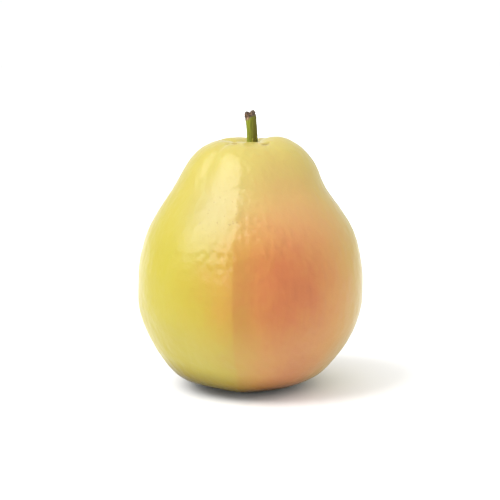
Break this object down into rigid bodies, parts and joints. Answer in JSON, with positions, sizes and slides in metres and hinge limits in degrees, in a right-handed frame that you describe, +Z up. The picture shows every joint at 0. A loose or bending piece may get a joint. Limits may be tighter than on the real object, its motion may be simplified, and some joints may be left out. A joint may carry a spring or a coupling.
{
  "type": "guava",
  "caption": "Whole ripe guava, pear-shaped with low lobes and a front ridge, standing on its blossom end, with its short stalk and dried calyx.",
  "frame": {"origin": "middle of the flat ring under the fruit, on the surface that it rests on", "axes": "+Z up along the fruit towards its stalk, -Y towards the front, where the skin has its ridge, +X to the right"},
  "size_m": [0.0798, 0.0802, 0.0986],
  "materials": {
    "skin": "satin",
    "stalk": "matte",
    "dried_sepals": "matte"
  },
  "bodies": {
    "root": {"fruit": "skin", "stem": "stalk", "calyx": "dried_sepals"}
  },
  "joints": []
}
